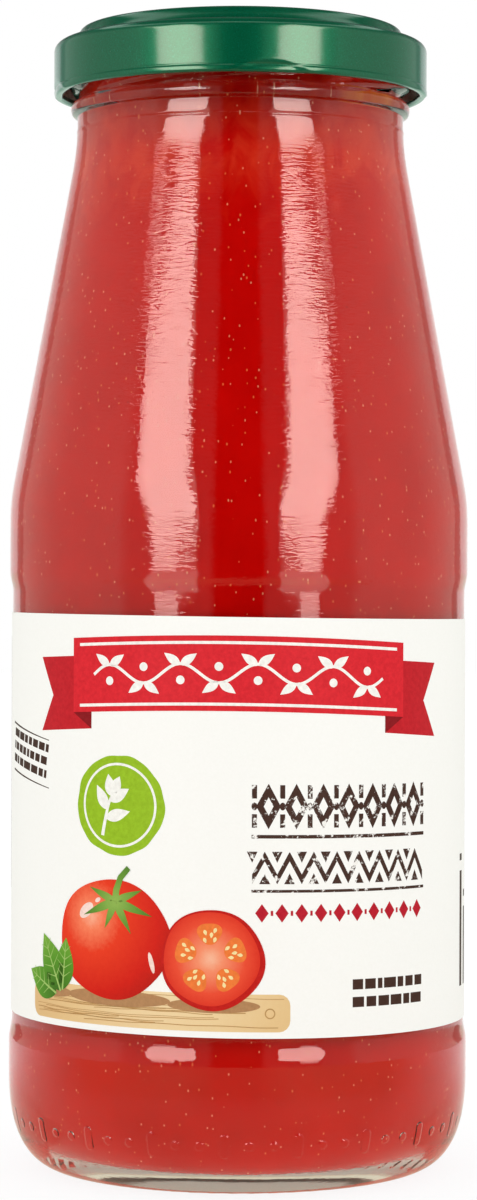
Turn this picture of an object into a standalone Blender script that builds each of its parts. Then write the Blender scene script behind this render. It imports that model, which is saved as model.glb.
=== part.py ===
"""Passata bottle: a clear glass bottle with a 53 mm twist-off lid, filled with passata and wrapped
in a paper label. Metres, +Z up. The origin is the middle of the bearing ring, on the surface that
the bottle stands on. The front of the label faces -Y, and angles around the bottle count from
there towards +X."""

from math import atan2, cos, hypot, pi, radians, sin, sqrt, tan

import bmesh
import bpy

MM = 0.001

# ---- driving dimensions -------------------------------------------------------------------

CLEARANCE = 0.3 * MM  # between pieces that touch
SIDES = 44  # of every round piece
ARC_TURN = radians(45)  # usual turn between two points of a rounded corner
ARC_LENGTH = 4.0 * MM  # and the usual distance on a large one

# Glass body, from the ground up
BODY_RADIUS = 34.2 * MM
BOTTLE_HEIGHT = 168.4 * MM  # ground to brim
WALL = 2.3 * MM
BASE_THICKNESS = 2.9 * MM
HEEL_WIDTH = 9.1 * MM
HEEL_HEIGHT = 15.0 * MM
HEEL_FULLNESS = 2.5  # power of the heel's curve: 2 is a quarter of an ellipse, and more is fuller
HEEL_STEPS = 5
BEARING_WIDTH = 1.3 * MM  # of the flat ring that the bottle stands on
PUSH_UP = 4.0 * MM  # height of the hollow under the base

# Label and the recessed panel that takes it
PANEL_LOW = 20.7 * MM  # middle of the lower step
LOW_RAMP = 1.5 * MM  # height of the lower step
PANEL_HIGH = 86.9 * MM  # middle of the upper step
HIGH_RAMP = 3.0 * MM  # height of the upper step
LABEL_LOW = 23.1 * MM
LABEL_HEIGHT = 59.1 * MM
LABEL_THICKNESS = 0.15 * MM
LABEL_BELOW_BODY = 0.3 * MM  # how far the paper's face lies inside the body's radius
LAP_ANGLE = radians(172)  # middle of the glued lap
LAP_WIDTH = 9.0 * MM
LAP_EDGE = 0.3 * MM  # width of the slope at each end of the lap

# Shoulder and neck
CYLINDER_TOP = 99.0 * MM  # where the wall's line meets the cone's
NECK_BELOW_BRIM = 16.2 * MM  # where the cone's line meets the neck's
SHOULDER_BLEND = 54.0 * MM  # radius of the bends at both ends of the cone

# Finish: bead, threads and brim
FINISH_RADIUS = 24.1 * MM
FINISH_WALL = 2.2 * MM
NECK_PROUD = 0.25 * MM  # neck over finish
BEAD_PROUD = 1.3 * MM  # bead over finish
BEAD_HEIGHT = 2.3 * MM
BEAD_BELOW_BRIM = 10.8 * MM  # brim to middle of bead
BRIM_ROUND = 0.8 * MM
STARTS = 4
THREAD_DEPTH = 1.6 * MM  # how far a thread stands out of the finish
THREAD_WIDTH = 1.7 * MM
THREAD_RISE = 13.0 * MM  # rise of a thread in one full turn
THREAD_ANGLE = radians(-58)  # low end of the first thread
THREAD_SWEEP = radians(84)
THREAD_TAPER = radians(6)  # length of each rounded end
THREAD_ROOT = 0.7 * MM  # how deep a thread's solid reaches into the wall
THREAD_STATIONS = 9
THREAD_ARC = 4  # flats across a thread

# Contents
FILL_BELOW_BRIM = 24.0 * MM
MENISCUS = 0.8 * MM

# Twist-off lid
SHEET = 0.45 * MM
LID_HEIGHT = 10.0 * MM
GASKET = 0.45 * MM  # lining between the sheet and the brim
THREAD_ROOM = 1.8 * MM  # between the threads and the inside of the skirt
CREST_WIDTH = 1.4 * MM
CREST_ROUND = 0.7 * MM
SHOULDER_DROP = 1.8 * MM  # crest to the lid's shoulder
SHOULDER_ROUND = 2.2 * MM
CURL_HEIGHT = 0.9 * MM
CURL_WIDTH = 1.0 * MM
CURL_PROUD = 0.1 * MM  # curl over skirt
CURL_ROUND = 0.35 * MM
CHANNEL_DEPTH = 1.3 * MM  # crest to the channel inside it
CHANNEL_WIDTH = 1.2 * MM
CHANNEL_INSET = 0.9 * MM  # from the mouth's wall to the channel
PANEL_DROP = 0.8 * MM  # crest to the lid's middle panel
PANEL_SLOPE = 0.9 * MM  # width of the slope between channel and panel
BUTTON_RADIUS = 10.0 * MM
BUTTON_DROP = 0.45 * MM  # the vacuum holds the button down
BUTTON_SLOPE = 1.2 * MM
LUG_ANGLE = radians(10.5)  # middle of the first lug
LUG_HALF_ANGLE = radians(14)
LUG_ROOM = 0.6 * MM  # between a lug and the finish
LUG_FADE = 1.1 * MM  # height over which a pressed-in lug runs out into the skirt

# ---- sizes that follow --------------------------------------------------------------------

BEARING_RADIUS = BODY_RADIUS - HEEL_WIDTH
INNER_RADIUS = BODY_RADIUS - WALL
LABEL_OUTER = BODY_RADIUS - LABEL_BELOW_BODY
LABEL_INNER = LABEL_OUTER - LABEL_THICKNESS
PANEL_RADIUS = LABEL_INNER - CLEARANCE
NECK_RADIUS = FINISH_RADIUS + NECK_PROUD
NECK_BOTTOM = BOTTLE_HEIGHT - NECK_BELOW_BRIM
BEAD_RADIUS = FINISH_RADIUS + BEAD_PROUD
BEAD_MIDDLE = BOTTLE_HEIGHT - BEAD_BELOW_BRIM
BEAD_LOW = BEAD_MIDDLE - BEAD_HEIGHT / 2
BEAD_HIGH = BEAD_MIDDLE + BEAD_HEIGHT / 2
MOUTH_RADIUS = FINISH_RADIUS - FINISH_WALL
FILL_LEVEL = BOTTLE_HEIGHT - FILL_BELOW_BRIM

LINING = BOTTLE_HEIGHT + CLEARANCE  # under side of the lid's gasket
LID_TOP = LINING + GASKET + SHEET
LID_BOTTOM = LID_TOP - LID_HEIGHT
SKIRT_INNER = FINISH_RADIUS + THREAD_DEPTH + THREAD_ROOM
SKIRT_OUTER = SKIRT_INNER + SHEET
CURL_OUTER = SKIRT_OUTER + CURL_PROUD
CURL_INNER = CURL_OUTER - CURL_WIDTH
CURL_TOP = LID_BOTTOM + CURL_HEIGHT
CREST_RADIUS = (FINISH_RADIUS + MOUTH_RADIUS) / 2
LUG_PRESS = CURL_INNER - (FINISH_RADIUS + LUG_ROOM)
# Each thread passes just over its lug, which it holds down.
THREAD_LOW = (CURL_TOP + CLEARANCE + THREAD_WIDTH / 2
              - THREAD_RISE * (LUG_ANGLE - THREAD_ANGLE) / (2 * pi))


# ---- outlines, as points (radius, height) -------------------------------------------------

def rounded(corners):
    """An open outline through corners (radius, height, rounding). A rounding of 0 stays sharp."""
    points = [corners[0][:2]]
    for before, (x, z, rounding), after in zip(corners, corners[1:], corners[2:]):
        if rounding == 0:
            points.append((x, z))
            continue
        length_back = hypot(before[0] - x, before[1] - z)
        length_ahead = hypot(after[0] - x, after[1] - z)
        back = ((before[0] - x) / length_back, (before[1] - z) / length_back)
        ahead = ((after[0] - x) / length_ahead, (after[1] - z) / length_ahead)
        cross = back[0] * ahead[1] - back[1] * ahead[0]
        turn = pi - abs(atan2(cross, back[0] * ahead[0] + back[1] * ahead[1]))
        reach = min(rounding * tan(turn / 2), length_back / 2, length_ahead / 2)
        radius = reach / tan(turn / 2)
        to_centre = radius / cos(turn / 2)
        middle = (back[0] + ahead[0], back[1] + ahead[1])
        centre = (x + middle[0] / hypot(*middle) * to_centre, z + middle[1] / hypot(*middle) * to_centre)
        start = (x + back[0] * reach - centre[0], z + back[1] * reach - centre[1])
        steps = max(1, round(turn / ARC_TURN), round(radius * turn / ARC_LENGTH))
        for step in range(steps + 1):
            angle = (1 if cross < 0 else -1) * turn * step / steps
            points.append((centre[0] + start[0] * cos(angle) - start[1] * sin(angle),
                           centre[1] + start[0] * sin(angle) + start[1] * cos(angle)))
    points.append(corners[-1][:2])
    return points


def radius_at(outline, height):
    """Radius of an outline that rises or falls steadily, at a height."""
    for (radius_a, height_a), (radius_b, height_b) in zip(outline, outline[1:]):
        if min(height_a, height_b) <= height <= max(height_a, height_b) and height_a != height_b:
            return radius_a + (radius_b - radius_a) * (height - height_a) / (height_b - height_a)
    raise ValueError("the outline doesn't reach this height")


def under_base():
    """Under side of the base: a dome from the axis to the flat bearing ring."""
    edge = BEARING_RADIUS - BEARING_WIDTH
    dome = [(edge * share, PUSH_UP * (1 - share ** 2)) for share in (0, 0.35, 0.65, 0.9)]
    return [*dome, (edge, 0), (BEARING_RADIUS, 0)]


def heel_curve():
    """Shares (out, up) of the heel's width and height along its curve, without its foot."""
    turns = [pi / 2 * step / HEEL_STEPS for step in range(1, HEEL_STEPS + 1)]
    power = 2 / HEEL_FULLNESS
    return [(sin(turn) ** power, 1 - max(cos(turn), 0) ** power) for turn in turns]


def heel():
    return [(BEARING_RADIUS + HEEL_WIDTH * out, HEEL_HEIGHT * up) for out, up in heel_curve()]


def bottle_outside():
    """From the heel up to the middle of the brim."""
    return rounded([
        (BODY_RADIUS, HEEL_HEIGHT, 0),
        (BODY_RADIUS, PANEL_LOW - LOW_RAMP / 2, 0),
        (PANEL_RADIUS, PANEL_LOW + LOW_RAMP / 2, 0),
        (PANEL_RADIUS, PANEL_HIGH - HIGH_RAMP / 2, 0),
        (BODY_RADIUS, PANEL_HIGH + HIGH_RAMP / 2, 0),
        (BODY_RADIUS, CYLINDER_TOP, SHOULDER_BLEND),
        (NECK_RADIUS, NECK_BOTTOM, SHOULDER_BLEND),
        (NECK_RADIUS, BEAD_LOW, 0),
        (BEAD_RADIUS - BEAD_PROUD * 0.2, BEAD_LOW + BEAD_HEIGHT * 0.15, 0),
        (BEAD_RADIUS, BEAD_MIDDLE, 0),
        (BEAD_RADIUS - BEAD_PROUD * 0.2, BEAD_HIGH - BEAD_HEIGHT * 0.15, 0),
        (FINISH_RADIUS, BEAD_HIGH, 0),
        (FINISH_RADIUS, BOTTLE_HEIGHT, BRIM_ROUND),
        (CREST_RADIUS, BOTTLE_HEIGHT, 0),
    ])


def bottle_inside(gap=0):
    """From the middle of the brim down to the axis, moved in by a gap."""
    floor_radius = BEARING_RADIUS - 2 * WALL
    reach = INNER_RADIUS - floor_radius
    wall = rounded([
        (CREST_RADIUS, BOTTLE_HEIGHT, 0),
        (MOUTH_RADIUS, BOTTLE_HEIGHT, BRIM_ROUND),
        (NECK_RADIUS - WALL, BEAD_MIDDLE, 0),
        (NECK_RADIUS - WALL, NECK_BOTTOM, SHOULDER_BLEND),
        (INNER_RADIUS, CYLINDER_TOP, SHOULDER_BLEND),
        (INNER_RADIUS, BASE_THICKNESS + HEEL_HEIGHT, 0),
    ])
    return [
        *((radius - gap, height) for radius, height in wall),
        *((floor_radius + (reach - gap) * out, BASE_THICKNESS + gap + (HEEL_HEIGHT - gap) * up)
          for out, up in [*reversed(heel_curve()[:-1]), (0, 0)]),
        *((floor_radius * share, BASE_THICKNESS + gap + PUSH_UP * (1 - share ** 2))
          for share in (0.75, 0.4, 0)),
    ]


def passata_outline():
    """From the middle of the bottom up along the glass to the level, which sags to the middle."""
    glass = bottle_inside(CLEARANCE)
    below = [point for point in reversed(glass) if point[1] < FILL_LEVEL - MENISCUS]
    return [
        *below,
        (radius_at(glass[2:], FILL_LEVEL), FILL_LEVEL),
        (radius_at(glass[2:], FILL_LEVEL) - MENISCUS, FILL_LEVEL - MENISCUS * 0.7),
        (0, FILL_LEVEL - MENISCUS),
    ]


def lid_outline():
    """From the middle of the top, over the crest, down the skirt, round the curl and back inside."""
    channel_outer = MOUTH_RADIUS - CHANNEL_INSET
    channel_inner = channel_outer - CHANNEL_WIDTH
    panel_edge = channel_inner - PANEL_SLOPE
    button_edge = BUTTON_RADIUS - BUTTON_SLOPE
    crest_inner = CREST_RADIUS - CREST_WIDTH / 2
    crest_outer = CREST_RADIUS + CREST_WIDTH / 2
    ring_outer = FINISH_RADIUS + CLEARANCE + SHEET
    channel = LID_TOP - CHANNEL_DEPTH
    panel = LID_TOP - PANEL_DROP
    button = panel - BUTTON_DROP
    shoulder = LID_TOP - SHOULDER_DROP
    outside = rounded([
        (0, button, 0),
        (button_edge, button, 0),
        (BUTTON_RADIUS, panel, 0),
        (panel_edge, panel, 0),
        (channel_inner, channel, 0),
        (channel_outer, channel, 0),
        (crest_inner, LID_TOP, CREST_ROUND),
        (crest_outer, LID_TOP, CREST_ROUND),
        (ring_outer, shoulder, 0),
        (SKIRT_OUTER, shoulder, SHOULDER_ROUND),
        (SKIRT_OUTER, CURL_TOP + LUG_FADE, 0),
        (CURL_OUTER, CURL_TOP, 0),
        (CURL_OUTER, LID_BOTTOM, CURL_ROUND),
        (CURL_INNER, LID_BOTTOM, CURL_ROUND),
        (CURL_INNER, CURL_TOP, 0),
    ])
    inside = rounded([
        (CURL_INNER, CURL_TOP, 0),
        (SKIRT_INNER, CURL_TOP + SHEET / 2, 0),
        (SKIRT_INNER, CURL_TOP + LUG_FADE, 0),
        (SKIRT_INNER, shoulder - SHEET, SHOULDER_ROUND - SHEET),
        (ring_outer - SHEET, shoulder - SHEET, 0),
        (ring_outer - SHEET, LINING, BRIM_ROUND),
        (channel_outer + SHEET, LINING, 0),
        (channel_outer, channel - SHEET, 0),
        (channel_inner - SHEET / 2, channel - SHEET, 0),
        (panel_edge - SHEET / 2, panel - SHEET, 0),
        (BUTTON_RADIUS - SHEET / 2, panel - SHEET, 0),
        (button_edge - SHEET / 2, button - SHEET, 0),
        (0, button - SHEET, 0),
    ])
    return [*outside, *inside[1:]]


# ---- solids -------------------------------------------------------------------------------

def place(radius, angle, height):
    """A point at an angle from the front (-Y) towards +X."""
    return (radius * sin(angle), -radius * cos(angle), height)


def turned(outline, angles, pushed=lambda radius, angle, height: radius):
    """A mesh turned about Z. An outline that starts and ends on the axis gets a point at each
    end, and another closes on itself. pushed(radius, angle, height) gives each point's radius."""
    mesh = bmesh.new()
    rings = []
    for radius, height in outline:
        if radius == 0:
            rings.append([mesh.verts.new((0, 0, height))] * len(angles))
        else:
            rings.append([mesh.verts.new(place(pushed(radius, angle, height), angle, height))
                          for angle in angles])
    pairs = list(zip(rings, rings[1:]))
    if outline[0][0] > 0:
        pairs.append((rings[-1], rings[0]))
    for ring_a, ring_b in pairs:
        for index in range(len(angles)):
            ahead = (index + 1) % len(angles)
            corners = (ring_a[index], ring_a[ahead], ring_b[ahead], ring_b[index])
            mesh.faces.new(tuple(dict.fromkeys(corners)))
    bmesh.ops.recalc_face_normals(mesh, faces=mesh.faces)
    return mesh


def even_angles(sides, first=0.0):
    return [first + 2 * pi * side / sides for side in range(sides)]


def material(name, colour, roughness, metallic=0.0, transmission=0.0):
    made = bpy.data.materials.new(name)
    made.use_nodes = True
    shader = made.node_tree.nodes["Principled BSDF"]
    shader.inputs["Base Color"].default_value = (*colour, 1)
    shader.inputs["Roughness"].default_value = roughness
    shader.inputs["Metallic"].default_value = metallic
    shader.inputs["Transmission Weight"].default_value = transmission
    made.diffuse_color = (*colour, 1)
    return made


def add_object(name, mesh, surface):
    data = bpy.data.meshes.new(name)
    mesh.to_mesh(data)
    mesh.free()
    data.materials.append(surface)
    data.shade_smooth()
    data.set_sharp_from_angle(angle=radians(40))
    added = bpy.data.objects.new(name, data)
    bpy.context.scene.collection.objects.link(added)
    return added


def thread_section(along):
    """Points (radius, height) round one station of a thread, at an angle from its low end."""
    from_end = min(along, THREAD_SWEEP - along) / THREAD_TAPER
    size = sqrt(1 - (1 - min(from_end, 1)) ** 2)
    depth = THREAD_DEPTH * max(size, 0.1)
    half_width = THREAD_WIDTH / 2 * max(size, 0.3)
    middle = THREAD_LOW + THREAD_RISE * along / (2 * pi)
    across = [pi * step / THREAD_ARC for step in range(THREAD_ARC + 1)]
    face = [(FINISH_RADIUS + depth * sin(turn), middle - half_width * cos(turn)) for turn in across]
    root = FINISH_RADIUS - THREAD_ROOT
    return [(root, middle - half_width), *face, (root, middle + half_width)]


def add_threads(surface):
    """The raised threads, one closed shell for each start. They are joined to the bottle."""
    mesh = bmesh.new()
    for start in even_angles(STARTS, THREAD_ANGLE):
        steps = [0.0, *(THREAD_TAPER * share for share in (0.3,)),
                 *(THREAD_TAPER + (THREAD_SWEEP - 2 * THREAD_TAPER) * step / THREAD_STATIONS
                   for step in range(THREAD_STATIONS + 1)),
                 *(THREAD_SWEEP - THREAD_TAPER * share for share in (0.3,)), THREAD_SWEEP]
        sections = [[mesh.verts.new(place(radius, start + along, height))
                     for radius, height in thread_section(along)] for along in steps]
        for section_a, section_b in zip(sections, sections[1:]):
            for index in range(len(section_a)):
                ahead = (index + 1) % len(section_a)
                mesh.faces.new((section_a[index], section_a[ahead], section_b[ahead], section_b[index]))
        mesh.faces.new(sections[0])
        mesh.faces.new(sections[-1])
    bmesh.ops.recalc_face_normals(mesh, faces=mesh.faces)
    threads = add_object("threads_tool", mesh, surface)
    threads.hide_render = True
    threads.display_type = "WIRE"
    return threads


def add_bottle():
    glass = material("clear_glass", (0.93, 0.95, 0.92), 0.03, transmission=1.0)
    outline = [*under_base(), *heel(), *bottle_outside()[1:], *bottle_inside()[1:]]
    bottle = add_object("bottle", turned(outline, even_angles(SIDES)), glass)
    union = bottle.modifiers.new("threads", "BOOLEAN")
    union.operation = "UNION"
    union.solver = "EXACT"
    union.object = add_threads(glass)
    return bottle


def add_passata():
    sauce = material("passata", (0.48, 0.01, 0.005), 0.35)
    return add_object("passata", turned(passata_outline(), even_angles(SIDES)), sauce)


def add_label():
    """A paper band whose glued lap is twice as thick as the rest."""
    half_lap = LAP_WIDTH / 2 / LABEL_OUTER
    edge = LAP_EDGE / LABEL_OUTER
    lap = [LAP_ANGLE + side * reach for side in (-1, 1) for reach in (half_lap, half_lap + edge)]
    spacing = pi / SIDES
    kept = [angle for angle in even_angles(SIDES) if all(abs(angle - mark) > spacing / 2 for mark in lap)]

    def lapped(radius, angle, height):
        over_lap = abs(angle - LAP_ANGLE) <= half_lap + edge / 2
        return radius + LABEL_THICKNESS if over_lap and radius == LABEL_OUTER else radius

    top = LABEL_LOW + LABEL_HEIGHT
    outline = [(LABEL_INNER, LABEL_LOW), (LABEL_OUTER, LABEL_LOW), (LABEL_OUTER, top), (LABEL_INNER, top)]
    paper = material("label_paper", (0.95, 0.95, 0.9), 0.55)
    return add_object("label", turned(outline, sorted([*kept, *lap]), lapped), paper)


def add_lid():
    """The lid, with a lug pressed into its curl under each thread."""
    lug_middles = even_angles(STARTS, LUG_ANGLE)

    def pressed(radius, angle, height):
        off = min(abs((angle - middle + pi) % (2 * pi) - pi) for middle in lug_middles)
        across = cos(pi / 2 * min(off / LUG_HALF_ANGLE, 1)) ** 2
        above_curl = min(max((height - CURL_TOP) / LUG_FADE, 0), 1)
        return radius - LUG_PRESS * across * (1 - above_curl) ** 2

    lacquer = material("green_lacquer", (0.005, 0.10, 0.035), 0.25, metallic=0.3)
    return add_object("lid", turned(lid_outline(), even_angles(SIDES, LUG_ANGLE), pressed), lacquer)


def main():
    for existing in list(bpy.data.objects):
        bpy.data.objects.remove(existing, do_unlink=True)
    add_bottle()
    add_passata()
    add_label()
    add_lid()


main()
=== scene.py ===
"""Looks of the passata bottle. Metres, +Z up, the label's front towards -Y, as in the frame.
Outlines are points (radius, height) in millimetres and angles are degrees from the front towards
+X, until a piece's mesh is made."""
import cmath
import random
from math import ceil, cos, degrees, hypot, log, pi, radians, sin, tan

import bmesh
import bpy
import numpy as np
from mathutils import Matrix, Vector
from mathutils.geometry import tessellate_polygon


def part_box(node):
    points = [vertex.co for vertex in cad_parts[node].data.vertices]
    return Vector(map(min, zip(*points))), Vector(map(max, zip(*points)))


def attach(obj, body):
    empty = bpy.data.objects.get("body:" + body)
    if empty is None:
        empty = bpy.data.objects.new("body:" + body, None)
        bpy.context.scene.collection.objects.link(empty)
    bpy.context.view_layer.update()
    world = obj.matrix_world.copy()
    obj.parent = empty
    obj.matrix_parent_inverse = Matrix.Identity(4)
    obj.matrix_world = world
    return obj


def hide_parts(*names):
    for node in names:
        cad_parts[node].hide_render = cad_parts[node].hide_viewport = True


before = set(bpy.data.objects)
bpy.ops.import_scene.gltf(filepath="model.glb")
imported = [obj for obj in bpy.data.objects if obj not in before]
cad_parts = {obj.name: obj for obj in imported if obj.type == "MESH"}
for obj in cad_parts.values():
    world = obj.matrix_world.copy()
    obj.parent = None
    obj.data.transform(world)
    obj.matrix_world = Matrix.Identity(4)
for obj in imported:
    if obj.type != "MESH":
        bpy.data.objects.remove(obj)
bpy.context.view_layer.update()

MM = 0.001

# ---- sizes from the frame, in millimetres ----


def node_box(name):
    """The node's lowest and highest corners."""
    return [[value / MM for value in corner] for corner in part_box(name)]


BODY, _, BRIM = node_box("bottle")[1]
LEVEL = node_box("passata")[1][2]
(_, _, PAPER_LOW), (PAPER, _, PAPER_HIGH) = node_box("label")
(_, _, LID_BOTTOM), (LID_RADIUS, _, LID_TOP) = node_box("lid")

# ---- named sizes of the visible model, in millimetres ----

WALL = 2.3
HEEL_WIDTH = 9.1
HEEL_HEIGHT = 15.0
HEEL_FULLNESS = 2.5  # the power of the heel's curve, 2 for a quarter of an ellipse
BEARING = BODY - HEEL_WIDTH
BEARING_WIDTH = 1.5
KNURLS = 59
KNURL_MIDDLE = BEARING + 1.8
KNURL_HALF_WIDTH = 0.7
KNURL_HEIGHT = 0.17
KNURLED_TO = 3.0
KNURL_SLANT = 0.35  # of a knurl's width for each millimetre outwards
KNURL_CREST = 0.72  # where a knurl is highest, as a share of its width
PUSH_UP = 4.0
BASE_THICKNESS = 2.9
FLOOR_EDGE = 20.6
PANEL_LOW = 20.7  # middles of the ramps at the label panel's ends
PANEL_HIGH = 87.2
LOW_RAMP = 3.5
HIGH_RAMP = 3.1
PANEL = PAPER - 0.14
CYLINDER_TOP = 99.0
SHOULDER_BLEND = 54.0
NECK_BLEND = 44.0
NECK = 24.35
NECK_BOTTOM = BRIM - 16.2
SEAM = NECK_BOTTOM + 2.0  # the mark where the mould's neck ring meets its body
SEAM_HEIGHT = 0.10
SEAM_HALF_WIDTH = 0.18
FINISH = 24.1
MOUTH = 21.9
CREST = (FINISH + MOUTH) / 2
BEAD = 25.4
BEAD_MIDDLE = BRIM - 10.75
BEAD_HEIGHT = 2.3
THREADS = 4
THREAD_LOW = BRIM - 9.4
THREAD_ANGLE = -58.0
THREAD_SWEEP = 84.0
THREAD_RISE = 13.0
THREAD_DEPTH = 1.6
THREAD_HALF_WIDTH = 1.1
BRIM_ROUND = 0.8
IN_WALL = 0.22  # how far the passata reaches into the glass


# ---- outlines ----


def rounded(corners, step=0.35):
    """An open outline through corners (radius, height, rounding), a point each step or so on
    the arcs, which are worked out in complex numbers, radius + height i."""
    points = [complex(*corners[0][:2])]
    for before, (x, z, rounding), after in zip(corners, corners[1:], corners[2:]):
        corner = complex(x, z)
        back, ahead = complex(*before[:2]) - corner, complex(*after[:2]) - corner
        room = min(abs(back), abs(ahead)) / 2
        back, ahead = back / abs(back), ahead / abs(ahead)
        inner = cmath.phase(ahead / back)
        turn = pi - abs(inner)
        if turn < 1e-6:
            continue
        reach = min(rounding * tan(turn / 2), room)
        radius = reach / tan(turn / 2)
        centre = corner + (back + ahead) / abs(back + ahead) * radius / cos(turn / 2)
        start = corner + back * reach - centre
        steps = max(4, ceil(turn / 0.35), ceil(radius * turn / step))
        turn = turn if inner < 0 else -turn
        points += [centre + start * cmath.rect(1, turn * k / steps) for k in range(steps + 1)]
    points.append(complex(*corners[-1][:2]))
    return [(point.real, point.imag) for point in points]


def spaced(points, step):
    """The outline with extra points, so that none are further apart than step, which may be a
    function of the height."""
    made = [points[0]]
    for (xa, za), (xb, zb) in zip(points, points[1:]):
        allowed = step((za + zb) / 2) if callable(step) else step
        count = max(1, ceil(hypot(xb - xa, zb - za) / allowed - 1e-6))
        made += [(xa + (xb - xa) * k / count, za + (zb - za) * k / count)
                 for k in range(1, count + 1)]
    return made


def moved(points, distances):
    """The line through points moved to its right, by a distance for each point."""
    made = []
    befores, afters = [points[0], *points], [*points[1:], points[-1]]
    for (xa, ya), (x, y), (xb, yb), distance in zip(befores, points, afters, distances):
        share = distance / hypot(xb - xa, yb - ya)
        made.append((x + (yb - ya) * share, y - (xb - xa) * share))
    return made


def dome(edge, bottom, shares):
    """The hollow base at these shares of its radius."""
    return [(edge * share, bottom + PUSH_UP * (1 - share ** 2)) for share in shares]


def heel(foot, bottom, width, turns):
    """The heel's curve out and up from (foot, bottom), at these angles."""
    power = 2 / HEEL_FULLNESS
    return [(foot + width * sin(turn) ** power,
             bottom + HEEL_HEIGHT * (1 - cos(turn) ** power)) for turn in np.radians(turns)]


def ramp(start, end, middle, length):
    """A smooth step from the radius start to end, of this length round the height middle."""
    return [(start + (end - start) / 2 * (1 - cos(turn)),
             middle + length * (turn / pi - 0.5)) for turn in np.linspace(0, pi, 15)]


def base_and_heel():
    """From the axis under the base to the top of the heel."""
    edge = BEARING - BEARING_WIDTH
    return [*dome(edge, 0, np.linspace(0, 0.96, 15)), (edge - 0.35, 0.16), (edge, 0.03),
            (edge + 0.3, 0.0), (BEARING - 0.3, 0.0),
            *heel(BEARING, 0, HEEL_WIDTH, np.linspace(7, 90, 36))]


def bottle_outside():
    """From the top of the heel to the middle of the brim."""
    shoulder = rounded([
        (BODY, (PANEL_HIGH + CYLINDER_TOP) / 2, 0), (BODY, CYLINDER_TOP, SHOULDER_BLEND),
        (NECK, NECK_BOTTOM, NECK_BLEND), (NECK, BRIM, 0),
    ], 1.0)[:-1]
    side, half_side = BEAD - 0.25, BEAD_HEIGHT * 0.36
    finish = rounded([
        (NECK, shoulder[-1][1] + 0.05, 0), (NECK, BEAD_MIDDLE - BEAD_HEIGHT / 2, 0.35),
        (side, BEAD_MIDDLE - half_side, 0.5), (BEAD, BEAD_MIDDLE, 1.2),
        (side, BEAD_MIDDLE + half_side, 0.5), (FINISH, BEAD_MIDDLE + BEAD_HEIGHT / 2, 0.35),
        (FINISH, BRIM, BRIM_ROUND), (CREST, BRIM, 0),
    ])
    return [(BODY, HEEL_HEIGHT), *ramp(BODY, PANEL, PANEL_LOW, LOW_RAMP),
            *ramp(PANEL, BODY, PANEL_HIGH, HIGH_RAMP), *shoulder, *finish]


def bottle_inside():
    """From the middle of the brim down the inside to the axis."""
    wall = rounded([
        (CREST, BRIM, 0), (MOUTH, BRIM, BRIM_ROUND),
        (MOUTH, BEAD_MIDDLE, 6), (NECK - WALL, NECK_BOTTOM, SHOULDER_BLEND),
        (BODY - WALL, CYLINDER_TOP, SHOULDER_BLEND),
        (BODY - WALL, BASE_THICKNESS + HEEL_HEIGHT, 0),
    ], 1.0)
    turns = np.linspace(90, 0, 30)[1:-1]
    return [*wall, *heel(FLOOR_EDGE, BASE_THICKNESS, BODY - WALL - FLOOR_EDGE, turns),
            *dome(FLOOR_EDGE, BASE_THICKNESS, np.linspace(0.97, 0, 14))]


# ---- meshes ----


def ring(radius, height, count, push=None):
    """Points of one ring, as an array in metres. push(radius, height, angles) returns the
    radii and heights at those angles."""
    if radius < 1e-6:
        return np.array([[0.0, 0.0, height]]) * MM
    angles = np.arange(count) * 2 * pi / count
    radii = np.full(count, float(radius))
    heights = np.full(count, float(height))
    if push:
        radii, heights = push(radii, heights, angles)
    return np.stack([radii * np.sin(angles), -radii * np.cos(angles), heights], 1) * MM


def turned(outline, count, push=None):
    return [ring(radius, height, count, push) for radius, height in outline]


def faces_between(fa, na, fb, nb):
    """Faces between two rings, which start at the vertices fa and fb. na and nb are how many
    points they have: one, the same, or one ring twice as many as the other."""
    if na > nb:
        return [face[::-1] for face in faces_between(fb, nb, fa, na)]
    if na == nb:
        return [(fa + i, fa + (i + 1) % na, fb + (i + 1) % nb, fb + i) for i in range(na)]
    if na == 1:
        return [(fa, fb + (i + 1) % nb, fb + i) for i in range(nb)]
    faces = []
    for i in range(na):
        j, k, m = fb + 2 * i, fb + 2 * i + 1, fb + (2 * i + 2) % nb
        p, q = fa + i, fa + (i + 1) % na
        faces += [(p, k, j), (p, q, k), (q, m, k)]
    return faces


def joined(rings, closed=False):
    """The vertices of rings, and the faces from each to the next. closed goes on from the last
    to the first."""
    counts = [len(points) for points in rings]
    firsts = [sum(counts[:index]) for index in range(len(rings))]
    faces = []
    for a in range(len(rings) - (0 if closed else 1)):
        b = (a + 1) % len(rings)
        faces += faces_between(firsts[a], counts[a], firsts[b], counts[b])
    return np.concatenate(rings), faces


def mesh_object(name, vertices, faces, surfaces):
    """An object from vertices in metres."""
    mesh = bpy.data.meshes.new(name)
    mesh.from_pydata([tuple(map(float, vertex)) for vertex in vertices], [], faces)
    for surface in surfaces:
        mesh.materials.append(surface)
    made = bpy.data.objects.new(name, mesh)
    bpy.context.scene.collection.objects.link(made)
    return made


def add_piece(name, vertices, faces, surfaces, slot, replaced=None, which=None, smooth=True):
    """A piece of the object, riding on the one body. which is the number of each face's
    surface, where there are several."""
    piece = mesh_object(name, vertices, faces, surfaces)
    if which:
        piece.data.polygons.foreach_set("material_index", which)
    if smooth:
        piece.data.shade_smooth()
    piece.data.update()
    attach(piece, "root")
    if replaced:
        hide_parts(replaced)


# ---- materials ----


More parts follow.
